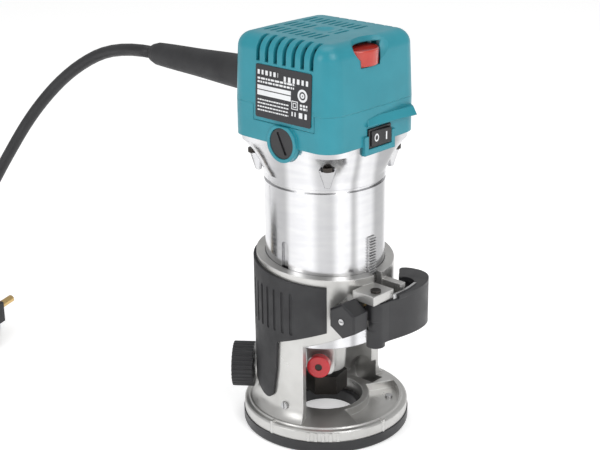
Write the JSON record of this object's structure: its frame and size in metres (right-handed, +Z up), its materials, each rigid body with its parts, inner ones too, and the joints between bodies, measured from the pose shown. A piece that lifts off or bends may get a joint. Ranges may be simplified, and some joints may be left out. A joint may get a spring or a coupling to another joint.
{
  "type": "trim router",
  "caption": "Corded one-hand trim router with a fixed base, cam-lever depth clamp, rack depth adjuster, shaft lock and collet spindle.",
  "frame": {"origin": "centre of the sole plate's guide bore, on the underside of the sole", "axes": "+Z up along the spindle, -Y the front with the switch, dial, rack and clamp, -X the rating-plate side, +Y the rear where the cord leaves"},
  "size_m": [0.2063, 0.3756, 0.222],
  "materials": {
    "cast_aluminium": "sand-cast, satin",
    "polished_aluminium": "turned and polished",
    "teal_plastic": "moulded, fine satin",
    "black_plastic": "moulded",
    "black_rubber": "overmoulded",
    "red_plastic": "gloss",
    "dial_plastic": "translucent gloss",
    "steel": "machined",
    "black_steel": "blackened",
    "brass": "drawn",
    "copper": "enamelled winding",
    "carbon": "pressed carbon",
    "board": "circuit board",
    "label": "printed plate"
  },
  "bodies": {
    "base": {"base_casting": "cast_aluminium", "sole_plate": "black_plastic", "sole_screws": "steel", "rubber_grip": "black_rubber", "leg_screw": "steel", "clamp_bolt": "steel", "clamp_washer": "steel", "clamp_nut": "steel", "lever_pin": "black_steel", "shaft_bushes": "brass", "cord_coil": "black_rubber", "plug_body": "black_rubber", "plug_pins": "brass"},
    "clamp_lever": {"clamp_lever": "black_plastic", "lever_liner": "steel"},
    "depth_adjuster": {"adjust_knob": "black_plastic", "knob_screw": "steel", "pinion_shaft": "steel", "pinion_gear": "steel", "shaft_clip": "black_steel"},
    "guide_clamp": {"guide_knob": "black_plastic", "guide_screw": "steel"},
    "motor_unit": {"motor_barrel": "polished_aluminium", "depth_rack": "steel", "bearing_nose": "cast_aluminium", "lower_bearing": "steel", "upper_bearing": "steel", "stator_core": "steel", "stator_windings": "copper", "air_baffle": "black_plastic", "lower_housing": "teal_plastic", "top_cover": "teal_plastic", "housing_screws": "black_steel", "cover_screws": "steel", "rating_plate": "label", "brush_holders": "brass", "carbon_brushes": "carbon", "brush_springs": "steel", "brush_caps": "black_plastic", "switch_body": "black_plastic", "circuit_board": "board", "cord_guard": "black_rubber", "cord_clamp": "black_plastic", "cord_tube": "black_rubber"},
    "power_rocker": {"power_rocker": "black_plastic"},
    "speed_dial": {"speed_dial": "dial_plastic"},
    "rotor": {"spindle": "steel", "rotor_core": "steel", "commutator": "copper", "cooling_fan": "black_plastic", "collet": "black_steel", "collet_nut": "black_steel"},
    "shaft_lock": {"lock_button": "red_plastic", "lock_pin": "black_steel", "lock_spring": "steel"}
  },
  "joints": [
    {"name": "motor_depth", "type": "slide", "parent": "base", "child": "motor_unit", "axis": [0, 0, 1], "range_m": [-0.02, 0.02]},
    {"name": "depth_knob_turn", "type": "hinge", "parent": "base", "child": "depth_adjuster", "pos_m": [0, -0.0385, 0.0785], "axis": [1, 0, 0], "range_deg": [-260, 260]},
    {"name": "clamp_lever_swing", "type": "hinge", "parent": "base", "child": "clamp_lever", "pos_m": [-0.0125, -0.0465, 0.075], "axis": [0, 0, -1], "range_deg": [0, 95]},
    {"name": "guide_knob_turn", "type": "hinge", "parent": "base", "child": "guide_clamp", "pos_m": [-0.0277, 0.03546, 0.03], "axis": [-0.6157, 0.788, 0], "continuous": true},
    {"name": "rocker_tilt", "type": "hinge", "parent": "motor_unit", "child": "power_rocker", "pos_m": [0.0012, -0.033, 0.1715], "axis": [0, 0, 1], "range_deg": [0, 8]},
    {"name": "speed_dial_turn", "type": "hinge", "parent": "motor_unit", "child": "speed_dial", "pos_m": [-0.0045, -0.0236, 0.213], "axis": [0, 0, 1], "range_deg": [0, 270]},
    {"name": "spindle_spin", "type": "hinge", "parent": "motor_unit", "child": "rotor", "pos_m": [0, 0, 0.1], "axis": [0, 0, 1], "continuous": true},
    {"name": "shaft_lock_press", "type": "slide", "parent": "motor_unit", "child": "shaft_lock", "axis": [0.8387, 0.5446, 0], "range_m": [0, 0.0033], "stiffness_N_per_m": 600, "springref_m": -0.0015}
  ],
  "couplings": [
    {"joint": "depth_knob_turn", "follows": "motor_depth", "rad_per_m": 222.22}
  ]
}
